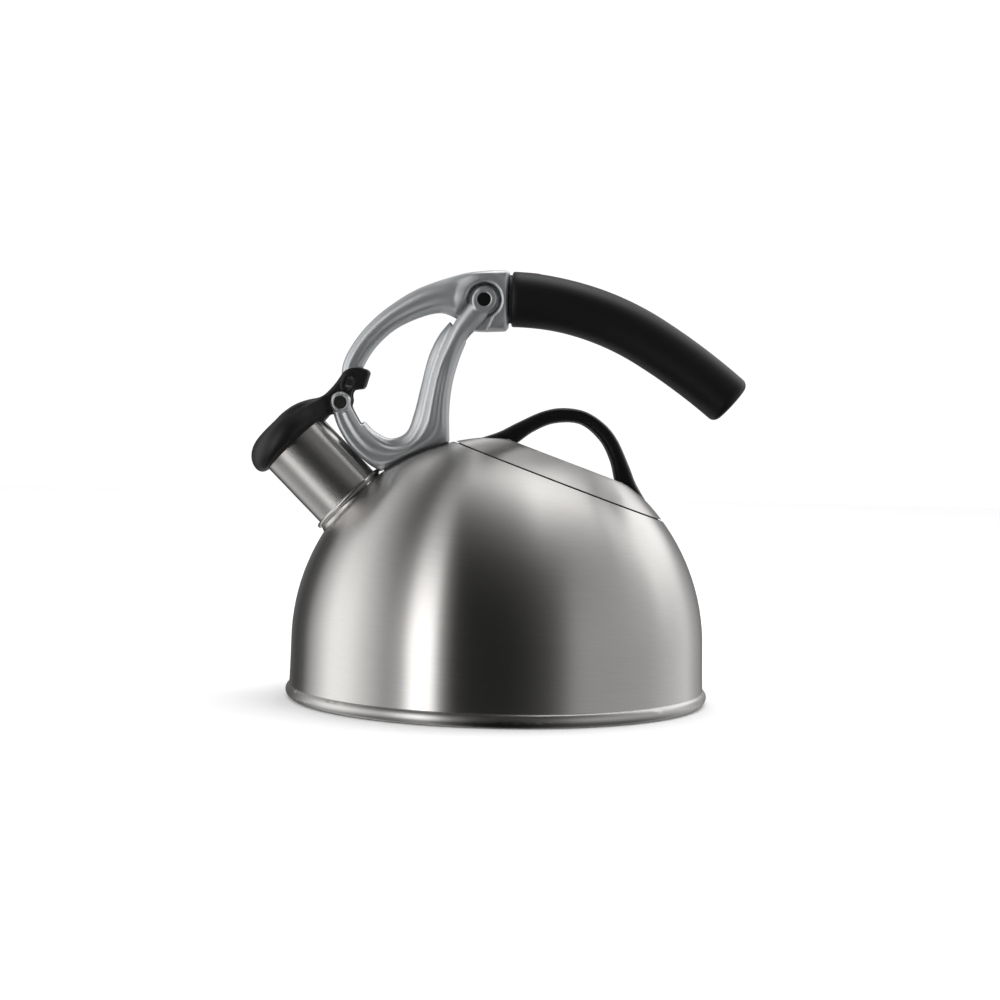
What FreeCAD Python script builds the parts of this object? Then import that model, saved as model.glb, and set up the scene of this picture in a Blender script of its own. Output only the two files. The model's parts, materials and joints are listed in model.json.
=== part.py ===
import FreeCAD, Part

import math
import os

from FreeCAD import Placement, Rotation
from FreeCAD import Vector as V

# A stovetop whistling kettle. Origin: centre of the flat base, on the table. +Z is up,
# +X runs from the spout to the end of the grip, and the object mirrors across y = 0.
# All sizes are in millimetres. Outlines are (x, z) points in the mirror plane.

Y_AXIS = V(0, 1, 0)
Z_AXIS = V(0, 0, 1)
FAR = 400.0  # reach of cutting blocks, larger than the kettle

# ---- Body ----
SHEET = 0.8  # pressed stainless steel
DOME_R = 97.7  # outside radius of the dome
DOME_Z = 26.6  # height of the dome's centre
WALL_FLARE = 0.6  # how far the wall spreads from the dome's equator to its foot
BEAD_LIP = 1.7  # how far the base bead stands out from the wall
BEAD_R = 3.2  # radius of the bead's round section
BEAD_RISE = 0.3  # the bead clears the table by this much
PAN_SHEET = 1.0
PAN_MARGIN = 6.0  # from the bead's centre in to the flat base
DISC_MARGIN = 12.8  # from the edge of the flat base in to the heat-spreading disc
DISC_T = 2.4

# ---- Lid, on an axis tilted towards the grip through the dome's centre ----
LID_TILT = 19.67  # degrees
LID_DEPTH = 15.5  # height of the dome's cap that the lid takes up
LID_FLAT_DROP = 5.5  # the flat top lies this far inside the dome
LID_BLEND_R = 14.0  # radius between the flat top and the dome
SEAM_GAP = 0.7
LEDGE_W = 6.8  # width of the ledge that the lid rests on
LEDGE_DROP = 0.5  # the ledge lies this far under the shell's cut edge
NECK_DEPTH = 9.5
GASKET_T = 1.0  # silicone under the lid's carrier ring
GASKET_SKIRT_T = 1.7
GASKET_FIT = 0.3  # radial clearance of the gasket in the neck
GASKET_REST = 0.05
LIP_OUT = 0.12  # how far the two sealing lips stand out
THREAD_FIT = 0.03  # radial clearance of every fastener and fitted pin
WASHER_T = 0.8

# ---- Lid's loop handle ----
LOOP_RISE = 25.3  # from the flat top to the loop's apex
LOOP_T = 6.5  # thickness at the apex
LOOP_W = 17.0  # width across
LOOP_TOE_X = 41.5  # half the loop's span over its toes
LOOP_HEEL_X = 25.0  # half the gap between its heels
LOOP_ROOT = 1.2  # how far its toes run on inside the dome, before they are cut to it
LOOP_ANKLE = 7.1  # from each toe in to where its upper side leaves the dome
LOOP_ANKLE_RISE = 2.86  # height of its upper side there
LOOP_EDGE_R = 2.2
LID_SCREW_R = 1.5
LID_HEAD_R = 2.8
LID_HEAD_T = 2.0
LID_WASHER_R = 3.4
LID_SCREW_BITE = 5.0  # length of thread in the loop's foot

# ---- Bracket, on the dome between spout and lid ----
FOOT_TO_LID = 19.7  # over the dome, from the lid's edge to the middle of the foot
FOOT_LENGTH = 33.0
FOOT_GASKET_T = 0.6
CHEEK_T = 3.2
EYE_R = 6.3  # round end at the main pivot
LEVER_EYE_R = 4.9  # round end at the spout lid's pivot
PIVOT_R = 2.6
PIVOT_CAP_R = 3.2
PIVOT_CAP_T = 1.2
LEVER_PIN_R = 2.0
LEVER_HEAD_R = 3.0
LEVER_HEAD_T = 0.9
HEAD_SINK = 0.2  # pin heads and caps lie this far below the cheeks' faces
BRACKET_SCREW_R = 2.5
BRACKET_HEAD_R = 4.4
BRACKET_HEAD_T = 2.6
BRACKET_WASHER_R = 5.0
BRACKET_BITE = 9.0  # length of thread in the bracket's foot
SCREW_SPREAD = 8.1  # each screw's distance from the middle of the foot
BACKING_T = 1.2
BACKING_MARGIN = 2.5

# ---- Spout, on a 45 degree axis ----
SPOUT_TILT = -45.0
TUBE_R = 17.6
TUBE_TOP_X = -20.25  # the tube's upper side, measured across the spout from the foot
MOUTH_S = 42.8  # the mouth, measured along the spout from the foot
ROOT_DEPTH = 1.0  # the tube reaches this far inside the dome
COLLAR_T = 2.4
COLLAR_LIP = 2.2  # how far the collar stands out from the tube
COLLAR_FLARE = 1.8  # extra radius where the collar meets the dome
COLLAR_RISE = 0.3

# ---- Spout lid and its lever ----
LEVER_HALF_W = 6.0
LEVER_HALF_GAP = 3.5
FORK_CLEARANCE = 0.3  # each side of the lever between the bracket's cheeks
LINK_R = 1.7
SLOT_FIT = 0.35  # clearance of the link pin in the lever's slots
HANDLE_LIFT = 6.0  # degrees the handle turns on its pivot
LID_RATIO = 7.6  # degrees the spout lid opens for each degree of the handle
CAP_OVERHANG = 3.2  # how far the cap reaches past the tube
CAP_LIFT = 0.3  # the cap stands clear of the tube's mouth
CAP_OFFSET = -1.2  # the cap's centre, across the spout from the tube's axis
CAP_T = 13.8
CAP_RIM_R = 1.6
SEAL_FIT = 0.3
SEAL_T = 0.9
SEAL_W = 1.6
SEAL_PLUG = 2.0  # how far the seal reaches into the spout
PLATE_INSET = 0.2  # the whistle's plate is this much smaller than the tube
WHISTLE_SHEET = 0.6
WHISTLE_HOLE_R = 2.4
WHISTLE_GAP = 4.0
WHISTLE_INSET = 3.2  # from the screws in to the whistle's cup
CHAMBER_HEAD = 2.6  # room above the whistle
CAP_SCREW_R = 1.0
CAP_HEAD_R = 1.9
CAP_HEAD_T = 1.1
CAP_SCREW_BITE = 6.0
VENT_R = 1.1
VENT_ANGLES = (-28, 0, 28)

# ---- Handle arm ----
HEAD_REACH = 11.9  # from the main pivot to the head's flat end
ARM_HALF_W = 10.5
ARM_TIP_HALF_W = 3.2
ARM_TIP_R = 3.9
ARM_LEAN = 35.0  # direction along which the arm's width tapers, degrees above horizontal
HUB_FIT = 0.25  # room beside the hub for a bush's flange
POCKET_GAP = 2.0  # round the bracket's eye
BUSH_WALL = 1.0
BUSH_FIT = 0.05
BUSH_LENGTH = 4.5
TANG_LENGTH = 62.0
TANG_HALF_H = 4.5
TANG_HALF_W = 3.5
TANG_ROOT = 3.0  # how far the tang's root runs into the head

# ---- Grip ----
GRIP_RISE = 0.9  # its centreline starts this far above the main pivot, level
GRIP_BENDS = ((130.0, 31.0), (300.0, 9.4))  # radius and angle of each bend in turn
GRIP_HALF_H = 13.1
GRIP_HALF_W = 13.6
SLEEVE_T = 3.0
SLEEVE_END_T = 7.0
SLEEVE_TAIL_R = 3.0
RING_GAP = 1.3  # width of core that shows between the head and the sleeve
RING_INSET = 1.6
ROLL_PIN_R = 1.5
ROLL_PIN_AT = (22.0, 48.0)  # along the grip's centreline
ROLL_PIN_SINK = 0.6
INLAY_AT = 10.0
INLAY_LENGTH = 7.0
INLAY_W = 4.0
INLAY_T = 0.5


# ---- Shape helpers ----
def vec(p):
    return V(p[0], 0, p[1])


def curve(*points):
    """Smooth edge through (x, z) points."""
    spline = Part.BSplineCurve()
    spline.interpolate([vec(p) for p in points])
    return spline.toShape()


def line(a, b):
    return Part.LineSegment(vec(a), vec(b)).toShape()


def lines(*points):
    """Open chain of straight edges."""
    return [line(a, b) for a, b in zip(points, points[1:])]


def arc(a, middle, b):
    return Part.Arc(vec(a), vec(middle), vec(b)).toShape()


def face_of(edges):
    return Part.Face(Part.Wire(Part.__sortEdges__(edges)))


def slab(edges, y_from, y_to):
    """Plate with the given closed outline, between two values of y."""
    plate = face_of(edges).extrude(V(0, y_to - y_from, 0))
    plate.translate(V(0, y_from, 0))
    return plate


def closed(points):
    return lines(*points, points[0])


def lathe(edges, x=0.0):
    """Solid of revolution about the vertical line at x."""
    return face_of(edges).revolve(V(x, 0, 0), Z_AXIS, 360)


def turned(points, x=0.0):
    """Solid of revolution from a polygon of (radius, z) points."""
    return lathe(closed([(x + r, z) for r, z in points]), x)


def rod(radius, start, end):
    return Part.makeCylinder(radius, (end - start).Length, start, end - start)


def cross_rod(radius, at, half_length=FAR):
    """Cylinder along y, centred on the mirror plane at an (x, z) place."""
    return rod(radius, V(at[0], -half_length, at[1]), V(at[0], half_length, at[1]))


def side_rod(radius, at, y_from, y_to):
    return rod(radius, V(at[0], y_from, at[1]), V(at[0], y_to, at[1]))


def placed(shape, frame):
    copy = shape.copy()
    copy.Placement = frame.multiply(copy.Placement)
    return copy


def both_sides(shape):
    return [shape, shape.mirror(V(0, 0, 0), Y_AXIS)]


def dome_ball(radius):
    return Part.makeSphere(radius, V(0, 0, DOME_Z))


def circle_at(height, radius=DOME_R):
    """Radius of a ball's horizontal circle at a height above its centre."""
    return math.sqrt(radius**2 - height**2)


def at_angle(radius, degrees):
    """(x, z) of a point at a distance from the dome's centre, degrees from vertical."""
    a = math.radians(degrees)
    return radius * math.sin(a), DOME_Z + radius * math.cos(a)


# ---- Where things stand ----
LID_FRAME = Placement(V(0, 0, DOME_Z), Rotation(Y_AXIS, LID_TILT))
LID_HALF_ANGLE = math.degrees(math.acos((DOME_R - LID_DEPTH) / DOME_R))
FOOT_ANGLE = LID_TILT - LID_HALF_ANGLE - math.degrees(FOOT_TO_LID / DOME_R)
FOOT = at_angle(DOME_R, FOOT_ANGLE)
SPOUT_FRAME = Placement(vec(FOOT), Rotation(Y_AXIS, SPOUT_TILT))


def from_foot(*offsets):
    """(x, z) points given as offsets from the middle of the bracket's foot."""
    return [(FOOT[0] + x, FOOT[1] + z) for x, z in offsets]


# The upper works stand on the bracket's foot, so all of them are laid out from there.
PIVOT, LEVER_PIVOT, LINK = from_foot((31.0, 73.4), (-35.6, 23.5), (-32.1, 33.3))
SPOUT_X = TUBE_TOP_X - TUBE_R
TUBE_BORE_R = TUBE_R - SHEET
BRACKET_GAP = LEVER_HALF_W + FORK_CLEARANCE
BRACKET_HALF_W = BRACKET_GAP + CHEEK_T

# ---- Body ----
WALL_FOOT_R = DOME_R + WALL_FLARE
BEAD_CENTRE_R = WALL_FOOT_R + BEAD_LIP - BEAD_R
BEAD_Z = BEAD_R + BEAD_RISE
PAN_FLAT_R = BEAD_CENTRE_R - PAN_MARGIN
SEAM_W = DOME_R - LID_DEPTH
SHELL_EDGE_W = SEAM_W - SEAM_GAP / 2
LID_RIM_W = SEAM_W + SEAM_GAP / 2
LID_TOP_W = DOME_R - LID_FLAT_DROP
REST_W = SHELL_EDGE_W - LEDGE_DROP
NECK_BORE_R = circle_at(SEAM_W) - LEDGE_W


def wall_and_dome(inset):
    """Half outline of the wall and dome, with its foot and its top."""
    r, foot = DOME_R - inset, (WALL_FOOT_R - inset, BEAD_Z)
    top = (0, DOME_Z + r)
    return [line(foot, (r, DOME_Z)), arc((r, DOME_Z), at_angle(r, 45), top)], foot, top


def spout_rod(radius, start, end):
    return placed(rod(radius, V(SPOUT_X, 0, start), V(SPOUT_X, 0, end)), SPOUT_FRAME)


def dome_along_spout(x, radius=DOME_R):
    """Distance along the spout at which a line at x leaves the dome."""
    centre = SPOUT_FRAME.inverse().multVec(V(0, 0, DOME_Z))
    return centre.z + circle_at(x - centre.x, radius)


def tube_root():
    sides = (SPOUT_X - TUBE_R, SPOUT_X + TUBE_R)
    return min(dome_along_spout(x, DOME_R - SHEET) for x in sides) - ROOT_DEPTH


def body_shell():
    outer, outer_foot, outer_top = wall_and_dome(0)
    inner, inner_foot, inner_top = wall_and_dome(SHEET)
    shell = lathe(outer + inner + [line(outer_foot, inner_foot), line(outer_top, inner_top)])
    above_seam = Part.makeBox(2 * FAR, 2 * FAR, FAR, V(-FAR, -FAR, SHELL_EDGE_W))
    shell = shell.cut(placed(above_seam, LID_FRAME))
    shell = shell.cut(spout_rod(TUBE_R, tube_root(), MOUTH_S))
    return shell.cut(bracket_holes())


def base_pan(shell):
    """Flat base, raised at its edge into a bead that is rolled round the wall's foot."""
    bead = Part.makeTorus(BEAD_CENTRE_R, BEAD_R, V(0, 0, BEAD_Z), Z_AXIS)
    inside_bead = BEAD_CENTRE_R - BEAD_R / 2
    flat = turned([(0, 0), (PAN_FLAT_R, 0), (inside_bead, BEAD_Z - PAN_SHEET / 2),
                   (inside_bead, BEAD_Z + PAN_SHEET / 2), (PAN_FLAT_R, PAN_SHEET), (0, PAN_SHEET)])
    return flat.fuse(bead).cut(shell).removeSplitter()


def heat_disc():
    return Part.makeCylinder(PAN_FLAT_R - DISC_MARGIN, DISC_T, V(0, 0, PAN_SHEET))


def neck_ring():
    """Ledge and short neck inside the opening, welded to the shell."""
    under = REST_W - SHEET
    bottom = REST_W - NECK_DEPTH
    bore, outside, edge = NECK_BORE_R, NECK_BORE_R + SHEET, circle_at(under)
    ring = turned([(bore, REST_W), (edge, REST_W), (edge, under), (outside, under), (outside, bottom),
                   (bore, bottom)])
    return placed(ring, LID_FRAME).common(dome_ball(DOME_R - SHEET))


# ---- Lid ----
BLEND_W = LID_TOP_W - LID_BLEND_R  # height of the blend's centre
LID_FLAT_R = circle_at(BLEND_W, DOME_R - LID_BLEND_R)


def lid_outline(inset):
    """Half outline of the lid's pressing, with its rim and the middle of its flat top."""
    lean = math.atan2(LID_FLAT_R, BLEND_W)
    radius = DOME_R - inset
    rim = (circle_at(LID_RIM_W, radius), LID_RIM_W)
    halfway = (math.atan2(*rim) + lean) / 2

    def on_blend(angle):
        size = LID_BLEND_R - inset
        return LID_FLAT_R + size * math.sin(angle), BLEND_W + size * math.cos(angle)

    centre = (0, LID_TOP_W - inset)
    edges = [
        arc(rim, (radius * math.sin(halfway), radius * math.cos(halfway)), on_blend(lean)),
        arc(on_blend(lean), on_blend(lean / 2), on_blend(0)),
        line(on_blend(0), centre),
    ]
    return edges, rim, centre


def lid_screw_places():
    """Where the screws meet the underside of the lid's flat top."""
    return [V(side * (LID_FLAT_R - LID_WASHER_R), 0, LID_TOP_W - SHEET) for side in (-1, 1)]


def lid_screw_holes():
    bite = V(0, 0, SHEET + LID_SCREW_BITE + THREAD_FIT)
    drop = V(0, 0, NECK_DEPTH)
    holes = [rod(LID_SCREW_R + THREAD_FIT, place - drop, place + bite) for place in lid_screw_places()]
    return placed(Part.makeCompound(holes), LID_FRAME)


def lid_shell():
    outer, outer_rim, outer_top = lid_outline(0)
    inner, inner_rim, inner_top = lid_outline(SHEET)
    shell = lathe(outer + inner + [line(outer_rim, inner_rim), line(outer_top, inner_top)])
    return placed(shell, LID_FRAME).cut(lid_screw_holes())


def lid_block():
    """The lid filled in down to its rim, for shaping what stands on it."""
    edges, rim, centre = lid_outline(0)
    foot = (0, LID_RIM_W)
    return lathe(edges + lines(rim, foot, centre))


def lid_ring():
    """Rolled steel carrier under the lid's rim, which holds the gasket."""
    skirt = NECK_BORE_R - GASKET_FIT - GASKET_SKIRT_T
    under = REST_W + GASKET_REST + GASKET_T
    hem = REST_W - NECK_DEPTH + 2 * SHEET
    ring = turned([(skirt - SHEET, under + SHEET), (circle_at(under), under + SHEET),
                   (circle_at(under), under),
                   (skirt, under), (skirt, hem), (skirt + SHEET, hem), (skirt + SHEET, hem - SHEET),
                   (skirt - SHEET, hem - SHEET)])
    return placed(ring, LID_FRAME).common(dome_ball(DOME_R - SHEET))


def lid_gasket():
    """Silicone L-section with two sealing lips, on the carrier ring."""
    outer = NECK_BORE_R - GASKET_FIT
    inner = outer - GASKET_SKIRT_T
    low, rest = REST_W - NECK_DEPTH + 2 * SHEET, REST_W + GASKET_REST
    flange = circle_at(rest + GASKET_T, DOME_R - SHEET) - GASKET_FIT
    outline = [(inner, rest + GASKET_T), (flange, rest + GASKET_T), (flange, rest), (outer, rest)]
    lip_h = (rest - low) / 10
    for lip_w in (rest - 3 * lip_h, rest - 7 * lip_h):
        outline += [(outer, lip_w + lip_h), (outer + LIP_OUT, lip_w), (outer, lip_w - lip_h)]
    outline += [(outer, low), (inner, low)]
    return placed(turned(outline), LID_FRAME)


def loop_outline():
    """Edges of the loop handle, which run on below the lid's surface."""
    apex, under = LID_TOP_W + LOOP_RISE, LID_TOP_W + LOOP_RISE - LOOP_T
    ankle_x = LOOP_TOE_X - LOOP_ANKLE
    ankle = (ankle_x, circle_at(ankle_x) + LOOP_ANKLE_RISE)
    crown = [ankle, (28.4, apex - 16.6), (19.0, apex - 7.2), (10.5, apex - 2.2)]
    arch = [(19.4, under - 11.0), (11.4, under - 3.8)]
    toe, heel = (LOOP_TOE_X, circle_at(LOOP_TOE_X)), (LOOP_HEEL_X, LID_TOP_W)
    root = (toe[0] + LOOP_ROOT, toe[1] - LOOP_ROOT)
    sole = root[1] - LOOP_ROOT

    def across(points, middle):
        return [(-x, w) for x, w in points] + [middle] + points[::-1]

    edges = [curve(*across([root, toe] + crown, (0, apex))), curve(*across([heel] + arch, (0, under)))]
    for side in (-1, 1):
        edges += lines((side * root[0], root[1]), (side * root[0], sole), (side * heel[0], sole),
                       (side * heel[0], heel[1]))
    return edges


def lid_handle():
    loop = slab(loop_outline(), -LOOP_W / 2, LOOP_W / 2)
    long_edges = [e for e in loop.Edges if isinstance(e.Curve, Part.BSplineCurve)]
    loop = loop.makeFillet(LOOP_EDGE_R, long_edges).cut(lid_block())
    return placed(loop, LID_FRAME).cut(lid_screw_holes())


def lid_screws():
    screws = []
    for place in lid_screw_places():
        under = place - V(0, 0, WASHER_T)
        tip = place + V(0, 0, SHEET + LID_SCREW_BITE)
        screws.append(screw(LID_HEAD_R, LID_HEAD_T, LID_SCREW_R, under, tip))
    return placed(Part.makeCompound(screws), LID_FRAME)


def lid_washers():
    washers = [rod(LID_WASHER_R, place - V(0, 0, WASHER_T), place) for place in lid_screw_places()]
    return placed(Part.makeCompound(washers), LID_FRAME).cut(lid_screw_holes())


def screw(head_r, head_t, shank_r, under_head, tip):
    """Round-headed screw with a drive socket."""
    along = (tip - under_head).normalize()
    top = under_head - along * head_t
    head = rod(head_r, top, under_head).cut(rod(head_r / 2, top, top + along * (head_t / 2)))
    return head.fuse(rod(shank_r, under_head - along * (head_t / 4), tip))


# ---- Spout ----
COLLAR_S = dome_along_spout(SPOUT_X + TUBE_R) + COLLAR_RISE
COLLAR_R = TUBE_R + COLLAR_LIP


def spout_tube():
    root = tube_root()
    tube = turned([(TUBE_BORE_R, root), (TUBE_R, root), (TUBE_R, MOUTH_S), (TUBE_BORE_R, MOUTH_S)], SPOUT_X)
    return placed(tube, SPOUT_FRAME)


def spout_collar():
    """Rolled ring round the tube, spreading where it meets the dome."""
    half = COLLAR_T / 2
    low, high, skirt_s = COLLAR_S, COLLAR_S + COLLAR_T, COLLAR_S - 6 * half
    wall, ring = SPOUT_X + TUBE_R, SPOUT_X + COLLAR_R
    skirt = (ring + COLLAR_FLARE, skirt_s)
    edges = lines((ring - half, low), skirt, (wall, skirt_s), (wall, high), (ring - half, high))
    edges.append(arc((ring - half, high), (ring, low + half), (ring - half, low)))
    return placed(lathe(edges, SPOUT_X), SPOUT_FRAME).cut(dome_ball(DOME_R))


# ---- Spout lid ----
SEAL_R = TUBE_BORE_R - SEAL_FIT
SEAL_BORE_R = SEAL_R - SEAL_W
PLATE_R = TUBE_R - PLATE_INSET
PLATE_S = MOUTH_S + SEAL_T  # underside of the whistle's plate
CUP_S = PLATE_S + WHISTLE_SHEET
CAP_SCREW_Y = SEAL_BORE_R - CAP_HEAD_R - PLATE_INSET
CUP_R = CAP_SCREW_Y - WHISTLE_INSET
CHAMBER_S = CUP_S + WHISTLE_GAP + WHISTLE_SHEET + CHAMBER_HEAD


def cap_head():
    """The cap's rounded head, a solid of revolution about its own axis."""
    c, r = SPOUT_X + CAP_OFFSET, TUBE_R + CAP_OVERHANG
    low = MOUTH_S + CAP_LIFT
    top = low + CAP_T
    belly, crown = low + 0.3 * CAP_T, (c + 0.4 * r, top)
    edges = [
        line((c, low), (c + r - CAP_RIM_R, low)),
        curve((c + r - CAP_RIM_R, low), (c + r - 0.2 * CAP_RIM_R, low + 0.7 * CAP_RIM_R), (c + r, belly),
              (c + 0.96 * r, low + 0.55 * CAP_T), (c + 0.84 * r, low + 0.78 * CAP_T),
              (c + 0.66 * r, low + 0.93 * CAP_T), crown),
        line(crown, (c, top)),
        line((c, top), (c, low)),
    ]
    return lathe(edges, c)


def lever_outline():
    """Side outline of the lever, from inside the cap's head to the thumb tab."""
    top = from_foot((-56.8, 22.2), (-49.5, 24.8), (-43.5, 27.3), (-38.0, 33.0), (-34.5, 38.4), (-29.8, 40.2))
    tab = from_foot((-29.8, 40.2), (-25.7, 40.1), (-22.5, 38.9))
    heel = from_foot((-22.5, 38.9), (-24.9, 30.2), (-30.1, 29.2))
    under = from_foot((-30.1, 29.2), (-29.9, 23.5), (-32.9, 18.6), (-37.9, 18.0), (-43.7, 17.0))
    return [curve(*top), curve(*tab), *lines(*heel), curve(*under), line(under[-1], top[0])]


def fork_gap():
    """Room between the lever's cheeks for the tip of the handle's arm."""
    outline = from_foot((-38.9, 15.6), (-39.9, 25.6), (-40.2, 30.6), (-41.2, 42.6), (-24.8, 42.6),
                        (-26.6, 33.1), (-28.8, 27.6), (-28.8, 15.6))
    return slab(closed(outline), -LEVER_HALF_GAP, LEVER_HALF_GAP)


def link_path(steps):
    """Centres of the link pin as the lever sees them, from the handle at rest to fully lifted."""
    pin, hub, lever = vec(LINK), vec(PIVOT), vec(LEVER_PIVOT)
    path = []
    for i in range(steps + 1):
        lift = HANDLE_LIFT * i / steps
        lifted = hub + Rotation(-Y_AXIS, lift).multVec(pin - hub)
        path.append(lever + Rotation(-Y_AXIS, lift * LID_RATIO).multVec(lifted - lever))
    return path


def slots():
    """Room in the lever for the link pin over its whole travel."""
    size = LINK_R + SLOT_FIT
    path = link_path(6)
    rooms = [cross_rod(size, (p.x, p.z)) for p in path]
    for a, b in zip(path, path[1:]):
        along = (b - a).normalize()
        side = V(-along.z, 0, along.x) * size
        corners = [(p.x, p.z) for p in (a + side, b + side, b - side, a - side)]
        rooms.append(slab(closed(corners), -FAR, FAR))
    return rooms[0].fuse(rooms[1:])


def spout_cap():
    """Moulded cap and lever in one piece, hollow for the whistle and forked at its rear."""
    off_tube = spout_rod(TUBE_R + SLOT_FIT, 0, PLATE_S)
    lever = slab(lever_outline(), -LEVER_HALF_W, LEVER_HALF_W).cut(off_tube)
    cap = placed(cap_head(), SPOUT_FRAME).fuse(lever)
    cap = cap.cut([spout_rod(PLATE_R, MOUTH_S, CUP_S), spout_rod(CUP_R + THREAD_FIT, CUP_S, CHAMBER_S)])
    cap = cap.cut([vent(angle) for angle in VENT_ANGLES])
    holes = [rod(CAP_SCREW_R + THREAD_FIT, place, place + V(0, 0, CAP_SCREW_BITE + THREAD_FIT))
             for place in cap_screw_places()]
    cap = cap.cut(placed(Part.makeCompound(holes), SPOUT_FRAME))
    return cap.cut([fork_gap(), slots(), cross_rod(LEVER_PIN_R + BUSH_FIT, LEVER_PIVOT)]).removeSplitter()


def vent(angle):
    """Steam hole from the chamber to the cap's front, on the side away from the lever."""
    a = math.radians(angle)
    out = V(-math.cos(a), math.sin(a), 0)
    start = V(SPOUT_X, 0, CHAMBER_S - CHAMBER_HEAD / 2) + out * (CUP_R - 2 * VENT_R)
    end = V(SPOUT_X, 0, CUP_S + VENT_R) + out * (TUBE_R + 2 * CAP_OVERHANG)
    return placed(rod(VENT_R, start, end), SPOUT_FRAME)


def cap_screw_places():
    """Where the screws meet the top of the whistle's plate."""
    return [V(SPOUT_X, side * CAP_SCREW_Y, CUP_S) for side in (-1, 1)]


def whistle_plate():
    """Lower whistle plate, with the first hole."""
    plate = turned([(WHISTLE_HOLE_R, PLATE_S), (PLATE_R, PLATE_S), (PLATE_R, CUP_S), (WHISTLE_HOLE_R, CUP_S)],
                   SPOUT_X)
    for place in cap_screw_places():
        start, end = place - V(0, 0, WHISTLE_GAP), place + V(0, 0, SEAL_T)
        plate = plate.cut(rod(CAP_SCREW_R + THREAD_FIT, start, end))
    return placed(plate, SPOUT_FRAME)


def whistle_cup():
    """Upper whistle plate: a shallow cup with the second hole, seated on the lower plate."""
    roof = CUP_S + WHISTLE_GAP
    inside = CUP_R - WHISTLE_SHEET
    cup = turned([(WHISTLE_HOLE_R, roof), (inside, roof), (inside, CUP_S), (CUP_R, CUP_S),
                  (CUP_R, roof + WHISTLE_SHEET), (WHISTLE_HOLE_R, roof + WHISTLE_SHEET)], SPOUT_X)
    return placed(cup, SPOUT_FRAME)


def spout_seal():
    """Silicone ring that plugs the mouth, held under the whistle's plate."""
    low = MOUTH_S - SEAL_PLUG
    ring = turned([(SEAL_BORE_R, low), (SEAL_R, low), (SEAL_R, MOUTH_S),
                   (PLATE_R, MOUTH_S), (PLATE_R, PLATE_S),
                   (SEAL_BORE_R, PLATE_S)], SPOUT_X)
    return placed(ring, SPOUT_FRAME)


def cap_screws():
    screws = []
    for place in cap_screw_places():
        under = place - V(0, 0, WHISTLE_SHEET)
        screws.append(screw(CAP_HEAD_R, CAP_HEAD_T, CAP_SCREW_R, under, place + V(0, 0, CAP_SCREW_BITE)))
    return placed(Part.makeCompound(screws), SPOUT_FRAME)


# ---- Bracket ----
FOOT_FRAME = Placement(V(0, 0, DOME_Z), Rotation(Y_AXIS, FOOT_ANGLE))
BACKING_R = DOME_R - SHEET - BACKING_T
SCREW_SEAT_W = circle_at(BRACKET_WASHER_R, BACKING_R)  # a flat washer clears the round plate here


def foot_patch(length, width, inner_r, outer_r):
    """Oblong patch of a round skin, centred on the bracket's foot."""
    block = Part.makeBox(length, width, 2 * FOOT_LENGTH, V(-length / 2, -width / 2, DOME_R - FOOT_LENGTH))
    uprights = [e for e in block.Edges if abs(e.tangentAt(e.FirstParameter).z) > 0.9]
    skin = dome_ball(outer_r).cut(dome_ball(inner_r))
    return skin.common(placed(block.makeFillet(width / 8, uprights), FOOT_FRAME))


def screw_line(side, start, end):
    """Two points on a bracket screw's axis, at two distances from the dome's centre."""
    angle = FOOT_ANGLE + math.degrees(side * SCREW_SPREAD / DOME_R)
    return vec(at_angle(start, angle)), vec(at_angle(end, angle))


def bracket_holes():
    reach = DOME_R + BRACKET_BITE + THREAD_FIT
    radius = BRACKET_SCREW_R + THREAD_FIT
    return [rod(radius, *screw_line(side, DOME_R - FOOT_LENGTH, reach)) for side in (-1, 1)]


def cheek_outline():
    """Side outline of a cheek without its round ends: finger, foot and upright."""
    finger = from_foot((-39.9, 22.0), (-39.5, 18.0), (-36.7, 10.5), (-31.3, 2.2),
                       (-23.9, -4.5), (-16.2, -8.8))
    inside = from_foot((-31.2, 23.2), (-28.7, 19.6), (-23.3, 10.8), (-16.8, 5.4), (-9.8, 3.3), (-2.7, 6.0),
                       (2.1, 14.1), (4.7, 25.6), (7.5, 38.6), (11.4, 50.6), (17.1, 63.2), (26.0, 75.0))
    back = from_foot((34.8, 69.7), (30.7, 62.2), (23.7, 55.0), (18.7, 44.8), (15.8, 33.4), (14.7, 20.6),
                     (15.9, 6.0))
    below = from_foot((15.9, 6.0), (18.7, -7.4), (-11.3, -20.4), (-16.2, -8.8))
    edges = [curve(*finger), line(finger[0], inside[0]), curve(*inside), line(inside[-1], back[0])]
    return edges + [curve(*back), *lines(*below)]


def web_outline():
    """Side outline of the plate between the cheeks; it ends below each fork."""
    inside = from_foot((-24.5, 14.8), (-19.6, 10.2), (-12.0, 7.0), (-4.5, 10.2), (-0.5, 19.6), (2.6, 33.1),
                       (5.7, 46.1), (10.1, 55.9), (15.5, 62.6))
    back = from_foot((22.5, 53.8), (19.1, 44.8), (16.3, 33.4), (15.1, 20.6), (15.9, 6.0))
    below = from_foot((15.9, 6.0), (18.7, -7.4), (-11.3, -20.4), (-16.2, -8.8))
    front = from_foot((-16.2, -8.8), (-22.8, -5.0), (-29.3, 1.2), (-33.3, 9.1))
    return [curve(*inside), line(inside[-1], back[0]), curve(*back), *lines(*below), curve(*front),
            line(front[-1], inside[0])]


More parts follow.
